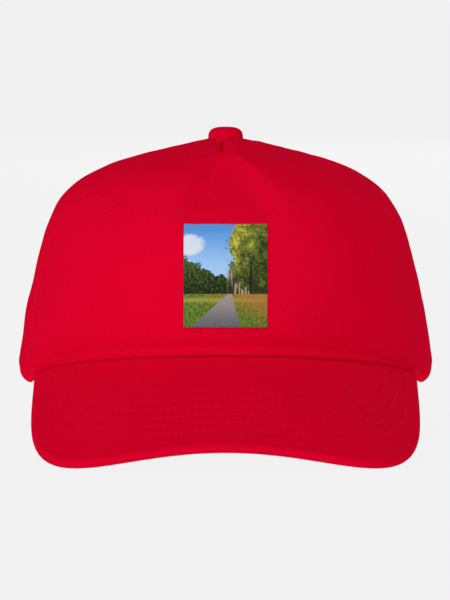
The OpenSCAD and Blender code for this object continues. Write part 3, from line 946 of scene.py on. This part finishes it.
def sweatband_piece():
    """A padded cotton band inside the rim, turned over at its top edge."""
    side = math.degrees(math.acos((ARCH_W / 2 + 1 * MM) / HALF_W))
    t = np.linspace(180 - side, 360 + side, 360)[None, :]
    foot, turned_h = 0.6 * MM, 5.5 * MM
    h = np.r_[np.linspace(0.6, 3, 6), np.linspace(4, 30, 20), np.linspace(30.4, 32, 6)][:, None] * MM
    edge = quarter_round(np.minimum(h - foot, BAND_H - h) / (0.9 * MM), 0.02)
    u = np.radians(t) * HALF_L + 0 * h
    pucker = 0.10 * MM * np.sin(u / (4.2 * MM) * 2 * math.pi + np.sin(u * 210)) * bell(h - 5 * MM, 4 * MM)
    puff = 0.35 * MM * bell(h - 18 * MM, 9 * MM) - 0.25 * MM * bell(h - turned_h, 1.2 * MM)
    half = 0.55 * MM
    middle = band_depth(t) + half + 0 * h
    t, h = t + 0 * h, h + 0 * t
    outside = band_place(t, h, middle - half * edge)
    inside = band_place(t, h, middle + half * edge + puff + pucker)
    cloth_piece(
        "sweatband_cloth", "sweatband", "sweatband", "sweatband", outside, inside,
        np.stack([u, h], -1), (round(0.93 * float(np.ptp(u)), 4), 0.033))
    rows = ((turned_h, 1.15 * MM), (BAND_H - 2.5 * MM, 1.2 * MM))
    return [band_place(t[0], height, band_depth(t[0]) + depth) for height, depth in rows]


sew_lines("sweatband_stitching", sweatband_piece(), "crown")


def label_piece():
    """A blank folded label sewn by its ends to the inside of the sweatband."""
    start, end, rows, columns = 160.0, 180.0, 20, 30
    t = np.linspace(start, end, columns)[None, :]
    h = np.linspace(8, 26, rows)[:, None] * MM
    x = np.linspace(-1, 1, columns)[None, :]
    lift = 0.25 * MM * (1 - x ** 2) * np.linspace(0, 1, rows)[:, None]
    depth = band_depth(t) + 1.62 * MM + 0 * h
    u = np.radians(t) * HALF_L + 0 * h
    t, h = t + 0 * h, h + 0 * t
    cloth_piece(
        "blank_label_cloth", "label", "label", "inside_label", band_place(t, h, depth),
        band_place(t, h, depth + 0.3 * MM + lift), np.stack([u, h], -1), (0.032, 0.018))
    heights, ends = np.linspace(9, 25, rows) * MM, []
    for angle in (start + 1, end - 1):
        ends.append(band_place(np.full(rows, angle), heights, np.full(rows, band_depth(angle) + 1.95 * MM)))
    stitches = sew(
        "label_stitching", [spaced(path, 2 * MM) for path in ends], 1.6 * MM, 0.15 * MM, "label thread")
    place(stitches, "crown", "label")


label_piece()


def arch_path(offset=0.0, depth=0.0):
    """Angles, levels and points of a line at a distance round the back opening's edge."""
    a = np.linspace(0, math.pi, 160)
    r = ARCH_W / 2 + offset
    x = r * np.cos(a)
    z = ARCH_H - ARCH_W / 2 + r * np.sin(a)
    legs = np.linspace(0.3 * MM, z[0], 12)[:-1]
    x = np.r_[np.full(11, r), x, np.full(11, -r)]
    z = np.r_[legs, z, legs[::-1]]
    t, s = np.degrees(np.arccos(np.clip(x / HALF_W, -1, 1))), np.full(len(x), 0.1)
    for _ in range(30):
        p = crown(t, s)
        s = np.clip(s + (z - p[:, 2]) / 0.25, -0.01, 0.6)
        t = np.degrees(np.arccos(np.clip(x / (HALF_W * share(t, s)), -1, 1)))
    return t, s, wall(t, s, np.full(len(x), depth))


def binding_piece():
    """Tape folded over the edge of the back opening."""
    t, s, edge = arch_path()
    out = crown_out(t, s)
    ahead = unit(np.gradient(edge, axis=0))
    away = unit(np.cross(ahead, out))
    away = away * np.sign((away * (edge - edge.mean(0))).sum(1))[:, None]
    thick = 0.45 * MM
    inner, outer = 1.95 * MM, -0.42 * MM
    line = [(5.8, inner), (0.6, inner), (-0.2, inner - 0.5 * MM), (-0.55, 0.75 * MM),
            (-0.2, outer + 0.5 * MM), (0.6, outer), (2.6, outer)]
    path = [(a * MM, d) for a, d in line]
    rounded = []
    for (a0, d0), (a1, d1) in zip(path[:-1], path[1:]):
        rounded += [(a0 + (a1 - a0) * f, d0 + (d1 - d0) * f) for f in (0, 0.34, 0.67)]
    rounded.append(path[-1])
    section = np.array(rounded)
    turn = unit(np.gradient(section, axis=0))
    normal = np.stack([-turn[:, 1], turn[:, 0]], -1)
    grids = []
    for side in (0.5, -0.5):
        spot = section + side * thick * normal
        grids.append(
            edge[:, None, :] + away[:, None, :] * spot[None, :, :1] - out[:, None, :] * spot[None, :, 1:])
    run, reach = run_along(edge), run_along(section)
    uv = np.stack(np.broadcast_arrays(reach[None, :], run[:, None]), -1)
    cloth_piece(
        "back_opening_tape", "tape", "tape", "back_opening_binding", *grids, uv,
        (round(float(reach[-1]), 4), round(float(run[-1]), 4)))
    return [arch_path(1.7 * MM, -0.78 * MM)[2], arch_path(7.5 * MM, 0.05 * MM)[2]]


sew_lines("back_opening_stitching", binding_piece(), "crown")

# ---- eyelets and button


def eyelet_piece():
    """Satin-stitched rings round the four vent holes."""
    rings = []
    for t in EYELET_ANGLES:
        centre, out = crown(t, EYELET_LEVEL), crown_out(t, np.array(EYELET_LEVEL))
        side = unit(np.cross(out, [0.0, 0.0, 1.0]))
        up = np.cross(side, out)
        turns = np.linspace(0, 2 * math.pi, 53)[:-1]
        spoke = np.cos(turns)[:, None] * side + np.sin(turns)[:, None] * up
        rings.append((centre + spoke * 2.75 * MM + out * 0.15 * MM, unit(spoke - out * 0.22)))
    made = sew("eyelet_satin_stitch", rings, 2.9 * MM, 0.3 * MM)
    place(made, "crown", "thread", "vent_eyelets")


eyelet_piece()


def cushion_dome(name, material, slot, node, r, low, high, pleats):
    """A closed flat-topped dome with rounded shoulders, and small pleats low on its side."""
    rings, around_it = 40, 96
    turns = np.linspace(0, 2 * math.pi, around_it + 1)[:-1][None, :]
    sweep = np.linspace(0.02, 1, rings)[:, None]
    side = np.sin(sweep * math.pi / 2) ** (2 / BUTTON_SQUARENESS)
    lift = np.cos(sweep * math.pi / 2) ** (2 / BUTTON_SQUARENESS)
    fold = pleats * np.sin(turns * 14 + np.sin(turns * 3)) * smooth(sweep, 0.6, 1.0)
    x, y = (r * side + fold) * np.cos(turns), (r * side + fold) * np.sin(turns)
    points = np.stack([x, CROWN_Y + y, low + (high - low) * lift + 0 * turns], -1).reshape(-1, 3)
    points = np.vstack([points, [0, CROWN_Y, low], [0, CROWN_Y, high]])
    base = rings * around_it
    last, top = base - around_it, base + 1
    faces = quads(rings, around_it, flip=True, closed=True)
    faces += [[last + j, last + (j + 1) % around_it, base] for j in range(around_it)]
    faces += [[(j + 1) % around_it, j, top] for j in range(around_it)]
    uv = np.vstack([np.stack([x, y], -1).reshape(-1, 2), [0, 0], [0, 0]])
    place(add_mesh(name, points, faces, material, uv), "crown", slot, node)


cushion_dome(
    "button_cloth", "crown", "crown_twill", "button_cover",
    BUTTON_R, TOP_Z - 1.15 * MM, TOP_Z + BUTTON_H - 0.9 * MM, 0.08 * MM)
cushion_dome(
    "button_dome", "tin", "button_metal", "button_shell",
    BUTTON_R - 0.7 * MM, TOP_Z + 0.4 * MM, TOP_Z + BUTTON_H - 1.4 * MM, 0.0)

# ---- visor

STITCH_ROWS = [((13.0 + 6.05 * k) * MM, (6.0 + 4.7 * k) * MM) for k in range(6)]
HEM = 2.6 * MM
HEM_PUFF = 0.30 * MM
VISOR_CUT = (0.176, 0.135)


def visor_row_ray(a, front, side):
    """A stitch row's distance from the visor's root point: set in from the edge, with rounder corners."""
    x = np.abs(cosd(a)) / (VISOR_HALF_W - side)
    y = np.abs(sind(a)) / (HALF_L + VISOR_REACH - VISOR_ROOT - front)
    squareness = 4.2 - 20 * front
    return (x ** squareness + y ** squareness) ** (-1 / squareness)


def hem_depth(e):
    """Depth of a cover near the visor's edge, where it is rolled round the board."""
    roll = VISOR_T / 2 - (VISOR_T / 2 + HEM_PUFF) * quarter_round(e / HEM)
    back = -HEM_PUFF * (1 - smooth(e, HEM, HEM + 2.5 * MM))
    groove = 0.06 * MM * bell(e - HEM - 2.6 * MM, 0.8 * MM)
    return np.where(e < HEM, roll, back + groove)


def visor_cover(name, node, under):
    """One cover of the visor, with its rolled hem and the channels of its six stitch rows."""
    a = np.linspace(2.5, 177.5, 230)[None, :]
    inner, outer = rim_ray(a), edge_ray(a)
    length = outer - inner
    hem = np.r_[np.linspace(0, 1, 12) ** 1.6 * HEM, np.linspace(2.9, 6, 8) * MM]
    e_hem = np.minimum(hem[:, None], 0.8 * length * hem[:, None] / hem[-1])
    field = np.linspace(1, 0, 74)[1:, None]
    start = e_hem[-1:] / length
    under_crown = [-1.2 * MM / length, -2.4 * MM / length]
    w = np.concatenate([1 - e_hem / length, (1 - start) * field, *under_crown])[::-1]
    e = (1 - w) * length
    ray = inner + w * length
    depth = hem_depth(e)
    channel = 0.14 * MM + 0.16 * MM * np.abs(cosd(a))
    for front, side in STITCH_ROWS:
        depth = depth + channel * bell(ray - visor_row_ray(a, front, side), 0.8 * MM)
    uneven = 0.05 * MM * waves(ray * cosd(a), ray * sind(a), 30 * MM, 31)
    depth = depth - uneven * smooth(e, 3 * MM, 9 * MM)
    inner_depth = np.minimum(depth + 0.62 * MM, VISOR_T / 2 - 0.02 * MM)
    depth = np.minimum(depth, VISOR_T / 2 - 0.04 * MM)
    tuck = smooth(ray - inner, 0.0, 3 * MM)
    a = a + 0 * w
    if under:
        outside = visor_point(a, w, VISOR_T - inner_depth)
        inside = visor_point(a, w, VISOR_T - depth)
    else:
        outside, inside = visor_point(a, w, depth * tuck), visor_point(a, w, inner_depth)
    uv = np.stack([ray * cosd(a), -ray * sind(a)], -1)
    area = 1.12 * float(0.5 * np.sum(outer[0, :-1] ** 2 - inner[0, :-1] ** 2) * math.radians(175 / 229))
    cloth_piece(name, "visor", "visor_twill", node, outside, inside, uv, VISOR_CUT, area=round(area, 5))


visor_cover("visor_top_cloth", "visor_top_cover", False)
visor_cover("visor_under_cloth", "visor_under_cover", True)


def visor_rows():
    """The six rows of visor stitching, above and below."""
    above, below = [], []
    for front, side in STITCH_ROWS:
        a = np.linspace(3, 177, 1200)
        ray, inner, outer = visor_row_ray(a, front, side), rim_ray(a), edge_ray(a)
        keep = ray > inner + 1.5 * MM
        a, w = a[keep], ((ray - inner) / (outer - inner))[keep]
        sunk = 0.16 * MM + 0.16 * MM * np.abs(cosd(a))
        above.append(visor_point(a, w, sunk))
        below.append(visor_point(a, w, VISOR_T - sunk))
    return above, below


rows_above, rows_below = visor_rows()
sew_lines("visor_stitching_above", rows_above, "crown", thread_radius=0.2 * MM)
sew_lines("visor_stitching_below", rows_below, "crown", thread_radius=0.2 * MM)

# ---- print


def print_piece():
    """The transfer film, lying on the front panel and following its folds."""
    x = np.linspace(-0.5, 0.5, 60)[None, :]
    s = np.linspace(PRINT_LOW, PRINT_HIGH, 80)[:, None]
    t = FRONT + np.degrees(np.arcsin(PRINT_W * x / (HALF_W * share(FRONT, s))))
    s = s + 0 * t
    uv = np.stack([x + 0.5 + 0 * s, (s - s.min()) / (s.max() - s.min())], -1)
    u = np.radians(t - FRONT) * radius(t, s)
    levels = np.linspace(0, PRINT_HIGH, 400)
    h = np.interp(s, levels, run_along(crown(FRONT, levels)))
    far_from_seams = np.full(h.shape, 40 * MM)
    depth = visor_seam_roll(h) + front_fall(crown(t, s)[..., 0], s)
    depth = depth - cloth_slack(u, h, h, far_from_seams, FRONT_SEED)
    cloth_piece(
        "park_print_film", "print", "print", "print_film", wall(t, s, depth - 0.34 * MM),
        wall(t, s, depth - 0.10 * MM), uv, (PRINT_W, round(float(np.ptp(h)), 4)))


print_piece()

# ---- strap and buckle

# The straps lie on the circle through the rim's back and the two points where they pass under it.
side_x, side_y = HALF_W * cosd(STRAP_MEETS_RIM), HALF_L * sind(STRAP_MEETS_RIM)
STRAP_CY = (HALF_L ** 2 - side_x ** 2 - side_y ** 2) / (2 * (HALF_L - side_y))
RIM_R = HALF_L - STRAP_CY
rim_t = np.arange(STRAP_MEETS_RIM, BACK)
RIM_FLAT = float((RIM_R - np.hypot(HALF_W * cosd(rim_t), HALF_L * sind(rim_t) - STRAP_CY)).max())
SHORT_R = RIM_R - CLOTH_T - STRAP_GAP - RIM_FLAT
LONG_R = SHORT_R - STRAP_T - STRAP_GAP
STRAP_MIDDLE = np.array([0, STRAP_CY + CROWN_Y])


def on_circle(radii, angles):
    """Points on the strap's circle, at angles from the middle of the back."""
    return STRAP_MIDDLE + np.stack([radii * sind(angles), radii * cosd(angles)], -1)


def strap_piece(name, path, thickness, node, body):
    """An upright strap along a path seen from above, leaning with the wall, and its stitch rows."""
    ahead = unit(np.gradient(path, axis=0))
    side = np.stack([-ahead[:, 1], ahead[:, 0]], -1)
    run = run_along(path)
    z = np.r_[np.linspace(0, 1.2, 7), np.linspace(2, 14, 13), np.linspace(14.8, 16, 7)] * MM
    edge = np.minimum(z, STRAP_W - z)
    half = thickness / 2 * quarter_round(edge / (0.8 * MM), 0.05)
    half = half - 0.08 * MM * bell(edge - 2.2 * MM, 0.6 * MM)
    taper = quarter_round(np.minimum(run, run[-1] - run) / (0.9 * MM), 0.1)
    inward = unit(STRAP_MIDDLE - path)
    grids = []
    for sign in (-1, 1):
        flat = path[None] + sign * (half[:, None] * taper[None, :])[..., None] * side[None]
        flat = flat + (STRAP_LEAN * z)[:, None, None] * inward[None]
        level = np.broadcast_to((STRAP_Z + z)[:, None, None], flat.shape[:2] + (1,))
        grids.append(np.concatenate([flat, level], -1))
    uv = np.stack(np.broadcast_arrays(run[None, :], z[:, None]), -1)
    cloth_piece(
        name + "_cloth", "strap", "strap_twill", node, *grids, uv, (round(float(run[-1]), 4), STRAP_W), body)
    rows = []
    for height in (2.2 * MM, STRAP_W - 2.2 * MM):
        base = path + STRAP_LEAN * height * inward
        for sign in (-1, 1):
            flat = base + sign * (thickness / 2 - 0.04 * MM) * side
            rows.append(np.concatenate([flat, np.full((len(flat), 1), STRAP_Z + height)], 1))
    sew_lines(name + "_stitching", rows, body, pitch=2.6 * MM, length=1.9 * MM, thread_radius=0.19 * MM)


def buckle_strap_path():
    """The short strap's way to the buckle's bar, round it and back over itself."""
    bar_r, play, half_cloth = 0.8 * MM, 0.1 * MM, 0.43 * MM
    bar = on_circle(LONG_R + STRAP_GAP + 1.75 * MM, BAR_ANGLE)
    base_r = SHORT_R - STRAP_T / 2 - 0.05 * MM
    outward = np.array([sind(BAR_ANGLE), cosd(BAR_ANGLE)])
    sideways = np.array([cosd(BAR_ANGLE), -sind(BAR_ANGLE)])
    turn = np.linspace(-90, 90, 26)[:, None]
    path = np.concatenate([
        on_circle(base_r, np.linspace(-46, BAR_ANGLE - 1.6, 70)),
        bar + (bar_r + play + half_cloth) * (cosd(turn) * sideways + sind(turn) * outward),
        on_circle(base_r + 1.0 * MM, np.linspace(BAR_ANGLE - 2.2, BAR_ANGLE - 8, 26))])
    for _ in range(6):
        path[1:-1] = (path[:-2] + 2 * path[1:-1] + path[2:]) / 4
    return path


long_path = on_circle(LONG_R - STRAP_T / 2, np.linspace(-44, 42, 240))
strap_piece("long_strap", long_path, 1.1 * MM, "adjuster_strap", "strap")
strap_piece("buckle_strap", buckle_strap_path(), 0.82 * MM, "buckle_strap", "crown")

CAD_LOOKS = {
    "buckle_frame": "steel", "buckle_pin": "steel", "buckle_lid": "steel",
    "button_rivet": "tin", "button_washer": "tin", "visor_board": "board",
}
for node, look in CAD_LOOKS.items():
    for material_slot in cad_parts[node].material_slots:
        material_slot.material = MATERIALS[look]

# ---- stage and light

FLOOR_R, FLOOR_BEND, WALL_H = 5.2, 0.5, 0.8
LIGHT_SIZE = 1.1
LIGHTS = (
    ("top", (-0.2, -0.7, 2.0), (0, 0, 0.06), 17),
    ("left", (-1.3, -1.3, 0.6), (0, 0, 0.06), 11.5),
    ("right", (1.4, -1.2, 0.6), (0, 0, 0.06), 5.5),
    ("low", (-0.55, -2.0, 0.35), (0, 0, 0.06), 2.2),
    ("back", (0.5, 2.0, 0.55), (0, 0.05, 0.06), 16),
)


def stage_material():
    """A pale matt floor that glows a little, so that it stays even."""
    shader = Shader(
        "pale floor", Roughness=0.95, Specular_IOR_Level=0.0,
        Emission_Color=(1, 1, 1, 1), Emission_Strength=0.873)
    grain = shader.noise(shader.coordinates("Object"), 60.0, 2.0)
    shader.set(Base_Color=shader.mix(grain, (0.023, 0.023, 0.023), (0.026, 0.026, 0.026)))
    return shader.material


def make_stage():
    """A round pale floor whose edge curves up into a low wall."""
    MATERIALS["stage"] = stage_material()
    rise = np.linspace(0, math.pi / 2, 14)[1:]
    r = np.r_[0.02, 1.0, 3.0, FLOOR_R, FLOOR_R + FLOOR_BEND * np.sin(rise), FLOOR_R + FLOOR_BEND]
    z = np.r_[0.0, 0.0, 0.0, 0.0, FLOOR_BEND * (1 - np.cos(rise)), WALL_H]
    turns = np.linspace(0, 2 * math.pi, 121)[:-1]
    grid = np.stack([
        r[:, None] * np.cos(turns), CROWN_Y + r[:, None] * np.sin(turns), z[:, None] + 0 * turns], -1)
    middle = len(turns) * len(r)
    faces = quads(*grid.shape[:2], flip=True, closed=True)
    faces += [[j, (j + 1) % len(turns), middle] for j in range(len(turns))]
    floor = add_mesh("stage_floor", np.vstack([grid.reshape(-1, 3), [0, CROWN_Y, 0]]), faces, "stage")


def soft_light(name, spot, aim, power):
    """A round soft light at a spot, turned towards its aim and not seen itself."""
    data = bpy.data.lights.new(name, "AREA")
    data.shape = "DISK"
    data.size = LIGHT_SIZE
    data.energy = power
    made = bpy.data.objects.new(name, data)
    bpy.context.scene.collection.objects.link(made)
    made.location = spot
    made.visible_camera = False
    x, y, z = np.array(aim) - np.array(spot)
    made.rotation_euler = (math.atan2(math.hypot(x, y), -z), 0, math.atan2(y, x) - math.pi / 2)


def make_light():
    """A dim pale world and the soft lights."""
    world = bpy.data.worlds.new("studio")
    world.use_nodes = True
    background = world.node_tree.nodes["Background"]
    background.inputs["Color"].default_value = (1.0, 1.0, 1.0, 1)
    background.inputs["Strength"].default_value = 0.08
    bpy.context.scene.world = world
    for light in LIGHTS:
        soft_light(*light)


make_stage()
make_light()
